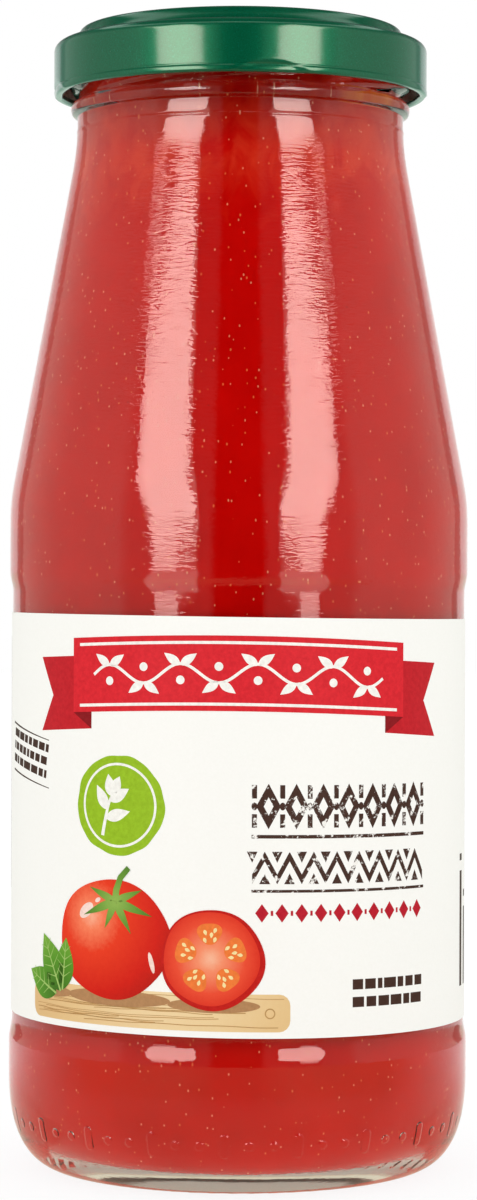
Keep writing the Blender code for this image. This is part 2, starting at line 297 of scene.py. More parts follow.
class Nodes:
    """Short calls for the nodes of one tree."""

    def __init__(self, tree):
        self.tree = tree

    def put(self, value, target):
        """Links a socket to the target, or sets anything else as the target's value."""
        if isinstance(value, bpy.types.NodeSocket):
            self.tree.links.new(value, target)
        else:
            target.default_value = value

    def node(self, kind, inputs=None, **settings):
        made = self.tree.nodes.new("ShaderNode" + kind)
        for name, value in settings.items():
            setattr(made, name, value)
        for name, value in (inputs or {}).items():
            self.put(value, made.inputs[name])
        return made

    def math(self, operation, a, b=0.0, c=0.0):
        return self.node("Math", {0: a, 1: b, 2: c}, operation=operation).outputs[0]

    def times(self, a, b):
        return self.math("MULTIPLY", a, b)

    def minus(self, a, b):
        return self.math("SUBTRACT", a, b)

    def over(self, a, b):
        return self.math("DIVIDE", a, b)

    def absolute(self, a):
        return self.math("ABSOLUTE", a)

    def times_plus(self, a, b, c):
        return self.math("MULTIPLY_ADD", a, b, c)

    def size(self, a, b):
        """The length of (a, b)."""
        return self.math("SQRT", self.times_plus(a, a, self.times(b, b)))

    def tinted(self, a, b):
        """The product of two colours."""
        return self.node("VectorMath", {0: a, 1: b}, operation="MULTIPLY").outputs[0]

    def parts(self, vector):
        return self.node("SeparateXYZ", {0: vector}).outputs

    def angle(self, x, y):
        """The angle from the front towards +X, in radians."""
        return self.math("ARCTAN2", x, self.times(y, -1.0))

    def either_way(self, x, y):
        """The angle from the front, to either side, as a share of half a turn."""
        return self.over(self.angle(self.absolute(x), y), pi)

    def rays(self):
        return self.node("LightPath").outputs

    def span(self, value, low, high, bottom=0.0, top=1.0, smooth=False):
        """bottom where the value is low, top where it is high, and between them in between."""
        return self.node("MapRange", {
            "Value": value, "From Min": low, "From Max": high, "To Min": bottom, "To Max": top},
            interpolation_type="SMOOTHSTEP" if smooth else "LINEAR").outputs[0]

    def ramp(self, value, *stops):
        """stops are (position, colour) with a colour of 3 numbers or one."""
        made = self.node("ValToRGB", {"Fac": value})
        elements = made.color_ramp.elements
        while len(elements) < len(stops):
            elements.new(0.5)
        for element, (position, colour) in zip(elements, stops):
            element.position = position
            element.color = full_colour(colour)
        return made.outputs["Color"]

    def mix(self, share, a, b):
        """Between two colours. The colour sockets of a mix node have no names of their own."""
        return self.node("Mix", {"Factor": share, 6: full_colour(a), 7: full_colour(b)},
                         data_type="RGBA").outputs[2]


def full_colour(colour):
    """Red, green, blue and alpha from 3 numbers, or from one for a grey. A socket stays one."""
    if isinstance(colour, bpy.types.NodeSocket):
        return colour
    return (*colour, 1) if isinstance(colour, tuple) else (colour, colour, colour, 1)


class Surface(Nodes):
    """A material whose nodes are in its object's coordinates, in metres."""

    def __init__(self, name):
        self.made = bpy.data.materials.new(name)
        self.made.use_nodes = True
        super().__init__(self.made.node_tree)
        self.shader = self.tree.nodes["Principled BSDF"]
        self.output = self.tree.nodes["Material Output"]

    def set(self, **values):
        """Puts values in the shader's inputs, whose names have spaces for underscores."""
        for name, value in values.items():
            self.put(value, self.shader.inputs[name.replace("_", " ")])

    def place(self, scale=(1, 1, 1)):
        coordinates = self.node("TexCoord").outputs["Object"]
        return self.node("Mapping", {"Vector": coordinates, "Scale": scale}).outputs[0]

    def noise(self, scale, detail, roughness, vector=None, distortion=0.0):
        return self.node("TexNoise", {
            "Vector": vector or self.place(), "Scale": scale, "Detail": detail,
            "Roughness": roughness, "Distortion": distortion}).outputs["Fac"]

    def cells(self, scale, vector=None):
        """How far the nearest of many scattered points is, in cells."""
        return self.node("TexVoronoi", {
            "Vector": vector or self.place(), "Scale": scale,
            "Randomness": 1.0}).outputs["Distance"]

    def bump(self, height, distance):
        """distance in millimetres."""
        return self.node("Bump", {
            "Height": height, "Distance": distance * MM}).outputs["Normal"]


HEEL_MARKS = 60
MARKS_RADIUS = 31.0
MARKS_HEIGHT = 7.8
DOT_RADIUS = 0.6
BAR_HALF_LENGTH = 1.1


def heel_marks(glass, x, y, z):
    """A row of raised dots round the heel. Each third one is a bar."""
    along = glass.times(glass.angle(x, y), HEEL_MARKS / (2 * pi))
    across = glass.times(glass.minus(glass.math("FRACT", along), 0.5),
                         2 * pi * MARKS_RADIUS / HEEL_MARKS)
    bar = glass.math("GREATER_THAN", glass.math("FRACT", glass.times(along, 1 / 3)), 0.66)
    up = glass.absolute(glass.minus(glass.over(z, MM), MARKS_HEIGHT))
    up = glass.math("MAXIMUM", glass.minus(up, glass.times(bar, BAR_HALF_LENGTH)), 0.0)
    return glass.span(glass.size(across, up), DOT_RADIUS + 0.15, DOT_RADIUS - 0.15, smooth=True)


def glass_surface():
    glass = Surface("clear_glass")
    x, y, z = glass.parts(glass.place())
    hairs = glass.noise(2300.0, 1.0, 0.5, glass.place((0.3, 0.3, 1.3)), 0.4)
    waves = glass.noise(160.0, 2.0, 0.5)
    # the shoulder ripples most
    uneven = glass.ramp(glass.over(z, 0.17), (0.47, 0.25), (0.54, 0.9), (0.87, 1.0),
                        (0.905, 0.4))
    ripple = glass.times(uneven, glass.times_plus(hairs, 2.5, glass.times(waves, 5.0)))
    height = glass.times_plus(heel_marks(glass, x, y, z), 14.0, ripple)
    glass.set(Base_Color=(0.96, 0.985, 0.96, 1), Roughness=0.0, IOR=1.5, Transmission_Weight=1.0,
              Normal=glass.bump(height, 0.011))
    return glass.made


# the passata's flecks: cells in a metre, radius in cells, strength, squeeze in height, colour
FLECKS = ((830.0, 0.072, 0.55, 0.6, (0.98, 0.48, 0.26)),
          (760.0, 0.075, 0.48, 0.6, (0.92, 0.28, 0.09)),
          (330.0, 0.030, 0.70, 1.2, (0.16, 0.006, 0.004)))


def passata_surface():
    """Passata, which is paler and uneven where it only coats the glass above its level."""
    sauce = Surface("tomato_passata")
    x, y, z = sauce.parts(sauce.place())
    angle = sauce.math("DEGREES", sauce.angle(x, y))
    below_brim = sauce.minus(BRIM, sauce.over(z, MM))
    mottle = sauce.noise(230.0, 4.0, 0.65, sauce.place((1, 1, 0.6)), 0.6)
    deep = sauce.ramp(sauce.noise(70.0, 4.0, 0.6), (0.35, (0.60, 0.0010, 0.0005)),
                      (0.65, (0.68, 0.0022, 0.0010)))
    coat = sauce.ramp(mottle, (0.35, (0.72, 0.004, 0.002)), (0.66, (0.82, 0.040, 0.014)))
    ragged = sauce.math("ADD", z, sauce.times(mottle, 0.012))
    colour = sauce.mix(sauce.span(ragged, (LEVEL + 1) * MM, (LEVEL + 10) * MM), deep, coat)
    # painted shade of the lid: the neck darkens towards the lid, most at the front
    inward = sauce.span(sauce.absolute(angle), 50.0, 25.0, 0.35)
    shaded = sauce.times(sauce.span(below_brim, 19.0, 11.5, top=0.95), inward)
    dark = sauce.ramp(mottle, (0.4, (0.36, 0.002, 0.001)), (0.7, (0.46, 0.010, 0.003)))
    colour = sauce.mix(shaded, colour, dark)
    # a thin patch of passata at the bead, right of the front, with painted light: orange, as light
    # coming through it
    beside = sauce.absolute(sauce.minus(angle, 55.0))
    over = sauce.absolute(sauce.minus(below_brim, 10.6))
    thin = sauce.times(sauce.span(beside, 19.0, 8.0, smooth=True),
                       sauce.span(over, 1.2, 0.3, top=0.62, smooth=True))
    glow_orange = sauce.ramp(mottle, (0.35, (0.80, 0.10, 0.006)), (0.65, (0.90, 0.30, 0.02)))
    colour = sauce.mix(thin, colour, glow_orange)
    for scale, radius, amount, squeeze, tone in FLECKS:
        away = sauce.cells(scale, sauce.place((1, 1, squeeze)))
        colour = sauce.mix(sauce.span(away, radius * 1.5, radius, top=amount), colour, tone)
    sauce.set(Roughness=0.45, Specular_IOR_Level=0.0, Base_Color=colour)
    # what fills glass mirrors only rays that graze it from within the glass
    mirror = sauce.node("BsdfGlossy", {"Color": (1, 1, 1, 1), "Roughness": 0.04})
    grazing = sauce.node("Fresnel", {"IOR": 0.80}).outputs[0]
    both = sauce.node("MixShader", {
        0: grazing, 1: sauce.shader.outputs[0], 2: mirror.outputs[0]})
    sauce.put(both.outputs[0], sauce.output.inputs["Surface"])
    return sauce.made


def cloudy_surface(name, noise, dark, light, depth=0.0, **values):
    """A plain material with two tones. noise is (scale, detail, roughness), and depth is its
    bump in millimetres."""
    plain = Surface(name)
    cloud = plain.noise(*noise)
    plain.set(Base_Color=plain.ramp(cloud, (0.3, dark), (0.7, light)), **values)
    if depth:
        plain.set(Normal=plain.bump(cloud, depth))
    return plain.made


def paper_surface():
    return cloudy_surface("label_paper", (2600.0, 3.0, 0.7), (0.945, 0.94, 0.885),
                          (0.97, 0.965, 0.915), 0.01, Roughness=0.6, Specular_IOR_Level=0.3)


def tin_surface():
    return cloudy_surface("bare_tin", (900.0, 2.0, 0.5), (0.55, 0.54, 0.50), (0.76, 0.75, 0.71),
                          Roughness=0.24, Metallic=0.85)


def gasket_surface():
    return cloudy_surface("gasket", (300.0, 3.0, 0.6), (0.74, 0.72, 0.66), (0.84, 0.82, 0.77),
                          0.02, Roughness=0.4, Specular_IOR_Level=0.4)


def ink_surface(name, colour, patchiness, glow):
    """Printing ink. worn lets the paper through in patches. glow takes the colour's place with
    (point, reach, stops): colours over the distance from a point of the label, up to reach
    millimetres."""
    ink = Surface(name)
    fine = ink.noise(1500.0, 3.0, 0.65)
    if glow:
        point, reach, stops = glow
        away = ink.node("VectorMath", {
            0: ink.place(), 1: tuple(map(float, label_place(*point, 0.0)))},
            operation="DISTANCE").outputs["Value"]
        away = ink.over(away, reach * MM)
        made = ink.ramp(ink.times_plus(ink.minus(fine, 0.5), 0.12, away), *stops)
    else:
        darker = tuple(0.90 * part for part in colour)
        lighter = tuple(min(1.06 * part + 0.004, 1.0) for part in colour)
        made = ink.ramp(fine, (0.32, darker), (0.68, lighter))
    if patchiness:
        gone = ink.span(ink.noise(700.0, 5.0, 0.75), 0.47 + patchiness, 0.51 + patchiness)
        made = ink.mix(gone, made, (0.93, 0.91, 0.85))
    ink.set(Roughness=0.5, Specular_IOR_Level=0.08, Base_Color=made, Normal=ink.bump(fine, 0.006))
    return ink.made


def lacquer_surface():
    """Green lacquer over bright tin: a clear coat on a colour that holds metal flakes."""
    lacquer = Surface("green_lacquer")
    flake = lacquer.noise(4600.0, 2.0, 0.7)
    colour = lacquer.ramp(flake, (0.35, (0.0, 0.094, 0.040)), (0.60, (0.0, 0.118, 0.052)),
                          (0.76, (0.002, 0.15, 0.09)))
    spark = lacquer.span(lacquer.cells(760.0), 0.045, 0.025, top=0.3)
    lacquer.set(Base_Color=lacquer.mix(spark, colour, (0.25, 0.55, 0.42)), Roughness=0.30,
                Metallic=0.42, Specular_IOR_Level=0.0, Specular_Tint=(0.1, 0.95, 0.9, 1),
                Coat_Weight=1.0, Coat_Roughness=0.13, Coat_IOR=1.46,
                Coat_Normal=lacquer.bump(lacquer.noise(260.0, 2.0, 0.5), 0.010),
                Normal=lacquer.bump(flake, 0.012))
    return lacquer.made


# ---- pieces ----


def thread_height(angles, heights):
    """How far a thread stands out at these angles, in radians, and heights."""
    proud = np.zeros(len(angles))
    for start in range(THREADS):
        along = (angles - radians(THREAD_ANGLE + 360 / THREADS * start)) % (2 * pi)
        share = along / radians(THREAD_SWEEP)
        ends = np.clip(np.minimum(share, 1 - share) * THREAD_SWEEP / 6.0, 0.0, 1.0)
        size = np.sqrt(1 - (1 - ends) ** 2)
        middle = THREAD_LOW + THREAD_RISE * along / (2 * pi)
        across = np.abs(heights - middle) / (THREAD_HALF_WIDTH * np.maximum(size, 0.3))
        bump = np.clip(1 - across ** 2, 0, 1)
        proud = np.maximum(proud, np.where(share < 1, THREAD_DEPTH * size * bump, 0))
    return proud


def shape_outside(radii, heights, angles):
    """The threads, the mark where the mould's neck ring meets its body, and the knurls under
    the heel."""
    if heights[0] > BEAD_MIDDLE:
        radii = radii + thread_height(angles, heights)
    radii = radii + SEAM_HEIGHT * np.exp(-((heights - SEAM) / SEAM_HALF_WIDTH) ** 2)
    near = np.exp(-(((radii - KNURL_MIDDLE) / KNURL_HALF_WIDTH) ** 4)) * (heights < KNURLED_TO)
    tooth = (KNURLS * angles / (2 * pi) - (radii - BEARING) * KNURL_SLANT) % 1.0
    proud = np.minimum(tooth / KNURL_CREST, (1 - tooth) / (1 - KNURL_CREST))
    return radii, heights + KNURL_HEIGHT * near * proud


def outside_step(height):
    """How far apart the rings of the outside are at a height."""
    if height < 2.0:
        return 0.32
    if height < 14:
        return 0.8
    if height > LID_BOTTOM + 2:
        return 0.6
    if abs(height - SEAM) < 0.5:
        return 0.16
    if height > NECK_BOTTOM:
        return 0.4
    return 6.0


def add_bottle(surface):
    outside = spaced([*base_and_heel(), *bottle_outside()[1:]], outside_step)
    inside = spaced(bottle_inside(), 6.0)
    rings = []
    # the knurls take most points in a ring, and the threads and the knurls' ends half as many
    for radius, height in outside:
        out = radius - BEARING if height < KNURLED_TO else 0
        threaded = NECK_BOTTOM + 3.9 < height < BRIM - 1.5
        count = 960 if 0.6 < out < 3.0 else 480 if 0 < out < 3.6 or threaded else 240
        rings.append(ring(radius, height, count, shape_outside))
    rings += turned(inside[1:], 240)
    add_piece("bottle_glass", *joined(rings), [surface], "clear_glass", "bottle")


FILM_TOP = BRIM - 1.6
FILM_THICKNESS = 0.5


def add_passata(surface):
    """The passata up to its level, and above it the coat that it leaves on the glass up to
    the lid."""
    coated = [point for point in spaced(bottle_inside()[::-1], 1.0) if point[1] < FILM_TOP]
    wall = moved(coated, [IN_WALL] * len(coated))
    wall[0] = (0.0, wall[1][1] + coated[0][1] - coated[1][1])
    coat = [(radius - IN_WALL - FILM_THICKNESS, height) for radius, height in wall[::-1]
            if height > LEVEL + 0.6]
    edge = coat[-1][0]
    level = [(edge - 0.3, LEVEL), (edge - 1.2, LEVEL - 0.45), (edge - 4.0, LEVEL - 0.6),
             (0.0, LEVEL - 0.65)]

    def uneven(radii, heights, angles):
        high = np.clip((heights - LEVEL - 8) / 8, 0, 1)
        wave = sum(size * np.sin(many * angles + start) for many, size, start in (
            (3, 1.0, 0.7), (7, 0.6, 2.1), (17, 0.35, 0.0), (31, 0.2, 1.0)))
        return radii, heights - high * (1.0 + 0.35 * wave)

    rings = turned(spaced([*wall, *coat, *level], 2.0), 180, uneven)
    add_piece("passata_fill", *joined(rings), [surface], "tomato_passata", "passata")


LAP_ANGLE = 172.0
LAP_WIDTH = 9.0
LAP_RISE = 0.08
LABEL_SKEW = 0.39
LABEL_THICKNESS = 0.12
LABEL_COLUMNS = 480


def label_place(u, v, height):
    """Where a point of the flat label is on the bottle, in metres: u from the middle of the
    front towards +X and v up from the lower edge, in millimetres, and height above the paper.
    The label sits slightly askew."""
    angle = np.asarray(u, float) / PAPER
    lap = (np.degrees(angle) - LAP_ANGLE) % 360 < degrees(LAP_WIDTH / PAPER)
    radius = PAPER + height + np.where(lap, LAP_RISE, 0.0)
    z = PAPER_LOW + v - LABEL_SKEW * np.sin(angle)
    return np.stack([radius * np.sin(angle), -radius * np.cos(angle), z], -1) * MM


def add_label(surface):
    up = np.linspace(0, PAPER_HIGH - PAPER_LOW, 16)
    outline = [(v, 0.0) for v in up] + [(v, -LABEL_THICKNESS) for v in up[::-1]]
    u = np.arange(LABEL_COLUMNS) * 2 * pi * PAPER / LABEL_COLUMNS
    vertices, faces = joined([label_place(u, v, depth) for v, depth in outline[::-1]], closed=True)
    add_piece("label_sheet", vertices, [face[::-1] for face in faces], [surface], "label_paper",
              "label", smooth=False)


# ---- the label's print: shapes are lists of loops of (u, v), the first the outer one ----


def oval(cu, cv, ru, rv, turn=0.0, lobes=(), count=64):
    """lobes are (how many, size as a share of the radius, angle)."""
    angles = np.arange(count) * 2 * pi / count
    grow = 1 + sum(size * np.cos(many * angles + start) for many, size, start in lobes)
    return placed(zip(ru * grow * np.cos(angles), rv * grow * np.sin(angles)), cu, cv, turn)


def placed(points, cu, cv, turn=0.0):
    """Points turned by so many degrees and moved to (cu, cv)."""
    right, up = cos(radians(turn)), sin(radians(turn))
    return [(cu + u * right - v * up, cv + u * up + v * right) for u, v in points]


def leaf(cu, cv, length, width, turn, count=12, belly=0.42):
    """A pointed leaf from its foot at (cu, cv), widest at the share belly of its length."""
    along = np.linspace(0, 1, count)
    wide = width / 2 * np.sin(np.pi * along ** (log(0.5) / log(belly)))
    half = list(zip(length * along, wide))
    return placed(half + [(u, -v) for u, v in half[-2:0:-1]], cu, cv, turn)


def box(u0, v0, u1, v1):
    return [(u0, v0), (u1, v0), (u1, v1), (u0, v1)]


def stroke(points, width, end=None):
    """A line along points, with a width at its start and one at its end."""
    halves = np.linspace(width, width if end is None else end, len(points)) / 2
    return moved(points, -halves) + moved(points, halves)[::-1]


def rounded_box(u0, v0, u1, v1, radius):
    corners = box(u0 + radius, v0 + radius, u1 - radius, v1 - radius)
    return [(u + radius * cos(angle), v + radius * sin(angle))
            for (u, v), start in zip(corners, (180, 270, 0, 90))
            for angle in np.radians(np.linspace(start, start + 90, 5))]


def frame_of(u0, v0, u1, v1, radius, inset):
    """A line of width inset along the inside of a rounded box."""
    return [rounded_box(u0, v0, u1, v1, radius),
            rounded_box(u0 + inset, v0 + inset, u1 - inset, v1 - inset, radius - inset)]


def rows_of_bars(u0, u1, v_top, rows, pitch, height, seed, short=0.0, turn=0.0):
    """Rows of little bars, as lines of small print look from afar. short is the largest share
    of its length that a row stops early."""
    draw = random.Random(seed)
    cu, cv = (u0 + u1) / 2, v_top - rows * pitch / 2
    shapes = []
    for row in range(rows):
        v = v_top - pitch * row - pitch / 2
        last = u1 - draw.uniform(0, short) * (u1 - u0)
        u = u0
        while u < last - 0.5:
            length = min(draw.uniform(0.7, 2.6), last - u)
            bar = box(u - cu, v - cv - height / 2, u - cu + length, v - cv + height / 2)
            shapes.append([placed(bar, cu, cv, turn)])
            u += length + draw.uniform(0.3, 0.45)
    return shapes


INK_LAYER = 0.012


def add_ink(name, shapes, layer, colour=None, patchiness=0.0, glow=None):
    """Shapes of one ink as a thin closed film on the label, cut finely enough to bend round
    it. colour, worn and glow are as in ink_surface."""
    name = "print_" + name
    flat = bmesh.new()
    for loops in shapes:
        corners = [[Vector((u, v, 0.0)) for u, v in loop] for loop in loops]
        made = [flat.verts.new(corner) for loop in corners for corner in loop]
        for triangle in tessellate_polygon(corners):
            flat.faces.new([made[index] for index in triangle])
    places = [vertex.co.x for vertex in flat.verts]
    for cut in range(int(min(places) // 1) + 1, ceil(max(places))):
        bmesh.ops.bisect_plane(flat, geom=[*flat.verts, *flat.edges, *flat.faces], dist=1e-4,
                               plane_co=(cut, 0, 0), plane_no=(1, 0, 0))
    bmesh.ops.dissolve_degenerate(flat, dist=1e-5, edges=flat.edges[:])
    flat.normal_update()
    for face in flat.faces:
        if face.normal.z < 0:
            face.normal_flip()
    flat.verts.index_update()
    u, v = np.array([vertex.co[:2] for vertex in flat.verts]).T
    top = [[vertex.index for vertex in face.verts] for face in flat.faces]
    loops = [edge.link_loops[0] for edge in flat.edges if len(edge.link_faces) == 1]
    rim = [(loop.vert.index, loop.link_loop_next.vert.index) for loop in loops]
    flat.free()
    count = len(u)
    bottom = -0.02 if layer == 1 else (layer - 1) * INK_LAYER - 0.004
    vertices = np.concatenate([label_place(u, v, layer * INK_LAYER), label_place(u, v, bottom)])
    faces = [*top, *([index + count for index in face[::-1]] for face in top)]
    faces += [(b, a, a + count, b + count) for a, b in rim]
    ink = ink_surface(name, colour, patchiness, glow)
    add_piece(name, vertices, faces, [ink], "label_paper", smooth=False)


BROWN = (0.060, 0.026, 0.017)
CREAM = (0.95, 0.93, 0.86)


def add_banner():
    """A red ribbon along the top with a cream vine."""
    def arch(u):
        return 0.9 * cos(pi * u / 56)

    def strip(low, high, across):
        return [(u, low + arch(u)) for u in across] + [(u, high + arch(u)) for u in across[::-1]]

    tail = [(22.5, 42.9), (33.5, 42.2), (30.6, 47.4), (33.5, 52.8), (22.5, 53.3)]
    fold = [(22.5, 42.9), (26.0, 45.1), (22.5, 45.4)]
    tails, folds = ([[[(side * u, v) for u, v in shape]] for side in (-1, 1)]
                    for shape in (tail, fold))
    across = list(range(-26, 27))
    cream = [[strip(low, low + 0.42, [u * 0.95 for u in across])] for low in (45.75, 54.4)]
    middle, swing, pitch = 50.3, 1.35, 5.5
    vine = [(u, middle + arch(u) + swing * sin(pi * u / pitch))
            for u in np.linspace(-22, 22, 120)]
    cream.append([stroke(vine, 0.42)])
    for index in range(-4, 4):
        u = pitch * (index + 0.5)
        up = 1 if index % 2 == 0 else -1
        v = middle + arch(u) + up * swing
        cream += [[leaf(u, v - up * 0.2, 2.9, 1.25, up * turn)] for turn in (35, 145)]
        cream.append([oval(u, v - up * 2.3, 0.62, 0.62, count=20)])
    add_ink("ribbon_tails", tails, 1, (0.56, 0.010, 0.018))
    add_ink("ribbon_folds", folds, 2, (0.26, 0.004, 0.008))
    add_ink("ribbon", [[strip(45.0, 55.6, across)]], 3, (0.72, 0.016, 0.026))
    add_ink("vine", cream, 4, CREAM)


def add_roundel(cu, cv):
    """A green disc with a cream sprig in a ring."""
    edge = oval(cu, cv, 7.3, 7.1, lobes=((5, 0.010, 0.4), (9, 0.007, 1.7), (14, 0.005, 0.2)),
                count=96)
    stem = [(cu - 2.6 + 0.1 * k, cv - 3.6 + 0.36 * k - 0.012 * (k - 8) ** 2) for k in range(19)]
    cream = [[oval(cu, cv, 6.1, 6.0, count=72), oval(cu, cv, 5.75, 5.65, count=72)],
             [stroke(stem, 0.55, 0.3)]]
    for turn, length, k in ((15, 4.2, 5), (118, 3.9, 8), (30, 3.7, 12), (100, 3.2, 15),
                            (65, 2.8, 17)):
        cream.append([leaf(*stem[k], length, 1.75, turn)])
    add_ink("roundel", [[edge]], 1, (0.31, 0.52, 0.014))
    add_ink("sprig", cream, 2, CREAM)


def add_friezes():
    """Two brown rows of block print, rubbed off in patches, a line under each, and a thin red row.
    """
    def diamond(u, v, half_u, half_v):
        return [(u - half_u, v), (u, v - half_v), (u + half_u, v), (u, v + half_v)]

    row, pitch = 32.6, 4.0
    brown = [[diamond(4.3 + pitch * index, row, *halves) for halves in ((1.75, 3.2), (0.7, 1.3))]
             for index in range(7)]
    for index in range(8):
        u = 2.3 + pitch * index
        brown += [[box(u - 0.36, v, u + 0.36, v + 1.9)] for v in (29.6, 33.7)]
        brown.append([oval(u, row, 0.42, 0.55, count=16)])
    brown.append([box(1.9, 28.1, 30.7, 28.6)])
    low, high, thick, pitch = 21.7, 24.9, 1.35, 3.55
    for index in range(8):
        a = 2.0 + pitch * index
        b, c = a + pitch / 2, a + pitch
        brown += [[[(a, low), (b, high), (c, low), (c, low + thick), (b, high + thick),
                    (a, low + thick)]],
                  [[(a + 1.0, low), (c - 1.0, low), (b, low + 1.5)]],
                  [[(a - 0.75, high + thick), (a + 0.75, high + thick), (a, low + 3.0)]]]
    brown.append([box(1.9, 20.5, 30.7, 20.9)])
    add_ink("friezes", brown, 1, BROWN, patchiness=0.085)
    red = []
    for index in range(10):
        u = 3.4 + 2.86 * index
        red.append([diamond(u, 17.6, 0.95, 1.3)])
        if index < 9:
            red.append([box(u + 1.25, 17.25, u + 1.6, 17.95)])
    add_ink("red_row", red, 1, (0.50, 0.007, 0.022))


def add_board():
    """A wooden board with its grain, and the shadows on it."""
    add_ink("board", [[rounded_box(-35.5, 0.9, 7.5, 6.2, 1.6)]], 1, glow=(
        (-10.0, 12.0), 30.0, ((0.15, (0.90, 0.70, 0.40)), (0.6, (0.80, 0.55, 0.26)),
                              (1.0, (0.72, 0.46, 0.20)))))
    draw = random.Random(5)
    grain = []
    for index in range(15):
        v = 1.5 + 0.29 * index + draw.uniform(-0.06, 0.06)
        a = draw.uniform(-34.5, -20)
        b = min(a + draw.uniform(12, 34), 6.6)
        bend = draw.uniform(-0.25, 0.25)
        line = [(a + (b - a) * t, v + bend * sin(pi * t) + 0.05 * sin(19 * t))
                for t in np.linspace(0, 1, 24)]
        grain.append([stroke(line, 0.05 + draw.uniform(0, 0.09))])
    grain.append([oval(4.6, 3.5, radius, radius, count=28) for radius in (0.75, 0.58)])
    add_ink("grain", grain, 2, (0.52, 0.29, 0.10))
    shadow = [[oval(-18.2, 4.9, 8.6, 1.15)], [oval(-3.4, 4.5, 6.6, 1.0)],
              [oval(-29.8, 4.9, 3.6, 0.75)]]
    add_ink("shadow", shadow, 3, (0.46, 0.24, 0.10))


def add_tomato():
    whole = oval(-19.0, 13.0, 9.6, 8.4, count=96,
                 lobes=((5, 0.014, 0.3), (2, -0.012, 0.0), (1, 0.02, -1.57)))
    add_ink("tomato", [[whole]], 4, glow=((-22.3, 16.3), 17.5, (
        (0.0, (0.98, 0.42, 0.26)), (0.11, (0.95, 0.22, 0.10)), (0.3, (0.82, 0.045, 0.012)),
        (0.62, (0.66, 0.012, 0.004)), (0.95, (0.30, 0.004, 0.002)))))
    glints = [[oval(-23.3, 17.0, 1.5, 0.85, 40)], [oval(-21.2, 18.6, 0.5, 0.3, 30)],
              [oval(-12.4, 10.2, 0.35, 1.5, 14)]]
    add_ink("glints", glints, 5, (0.98, 0.72, 0.62))
    top = (-18.2, 18.6)
    star = [[leaf(*top, length, width, turn, belly=0.3)] for turn, length, width in (
        (202, 6.0, 1.25), (158, 4.8, 1.1), (246, 4.3, 1.15), (300, 5.2, 1.2), (342, 6.2, 1.25),
        (22, 4.7, 1.1))]
    star.append([stroke([(-18.2, 18.2), (-18.0, 20.2), (-17.3, 22.0), (-16.0, 23.4)], 1.15, 0.8)])
    add_ink("calyx", star, 6, glow=(top, 6.5, (
        (0.0, (0.30, 0.48, 0.09)), (0.5, (0.15, 0.33, 0.04)), (1.0, (0.06, 0.17, 0.02)))))


def add_cut_tomato():
    """Half a tomato with five chambers of gel, and five seeds in each."""
    lobes = ((5, 0.012, 0.9), (3, 0.01, 0.2))
    add_ink("cut_skin", [[oval(-3.6, 10.9, 7.4, 7.1, lobes=lobes, count=96)]], 4,
            (0.55, 0.008, 0.004))
    middle = (-3.8, 11.1)
    flesh = oval(*middle, 6.85, 6.6, lobes=lobes, count=96)
    add_ink("flesh", [[flesh]], 5, glow=(middle, 7.0, (
        (0.0, (0.95, 0.50, 0.32)), (0.25, (0.93, 0.28, 0.14)), (0.7, (0.84, 0.075, 0.03)),
        (1.0, (0.72, 0.03, 0.012)))))
    chambers, seeds = [], []
    for index in range(5):
        turn = 72 * index + 20
        cu = middle[0] + 3.75 * cos(radians(turn))
        cv = middle[1] + 3.6 * sin(radians(turn))
        chambers.append([oval(cu, cv, 1.5, 1.75, turn, lobes=((3, 0.09, 3.14),), count=36)])
        for a, b in ((-0.55, -0.85), (-0.6, 0.85), (0.15, -0.3), (0.5, 0.75), (0.75, -0.95)):
            (u, v), = placed([(a, b)], cu, cv, turn)
            seeds.append([leaf(u, v, 0.85, 0.5, turn + 180 + 25 * b, 7)])
    add_ink("gel", chambers, 6, (0.88, 0.20, 0.035))
    add_ink("seeds", seeds, 7, (0.96, 0.78, 0.36))


def add_basil():
    leaves, ribs = [], []
    for cu, cv, length, width, turn in ((-28.6, 5.0, 9.0, 4.9, 118), (-29.6, 4.6, 7.6, 4.4, 158),
                                        (-28.2, 5.2, 7.6, 4.0, 84)):
        leaves.append([leaf(cu, cv, length, width, turn, 18)])
        ribs.append([stroke(placed([(0, 0), (length * 0.93, 0)], cu, cv, turn), 0.34, 0.08)])
        for share in (0.25, 0.42, 0.58, 0.73):
            reach = width * 0.40 * sin(pi * share ** 0.8)
            for side in (-1, 1):
                rib = [(length * share, 0), (length * (share + 0.13), side * reach)]
                ribs.append([stroke(placed(rib, cu, cv, turn), 0.16, 0.05)])
    add_ink("basil", leaves, 5, glow=((-29.0, 4.8), 9.5, (
        (0.0, (0.045, 0.15, 0.012)), (0.5, (0.10, 0.30, 0.02)), (1.0, (0.22, 0.46, 0.05)))))
    add_ink("ribs", ribs, 6, (0.36, 0.56, 0.14))


def add_small_print():
    """The front's small print, as plain bars."""
    bars = rows_of_bars(17.0, 30.5, 8.6, 2, 2.5, 1.45, 3)
    bars += rows_of_bars(-45.0, -32.0, 41.6, 3, 1.9, 1.15, 8, turn=-9)
    bars += [[stroke(placed([(-6.9, 0), (6.9, 0)], -38.5, v, -9), 0.3, 0.12)]
             for v in (41.9, 35.0)]
    bars += [[box(u, 5.0, u + 1.5, 5.0 + length)] for u, length in ((44.2, 17.0), (47.4, 11.5))]
    bars += [[box(u, v, u + 1.5, v + 1.0)] for u, v in ((44.2, 23.5), (47.4, 18.0))]
    add_ink("small_bars", bars, 1, BROWN)


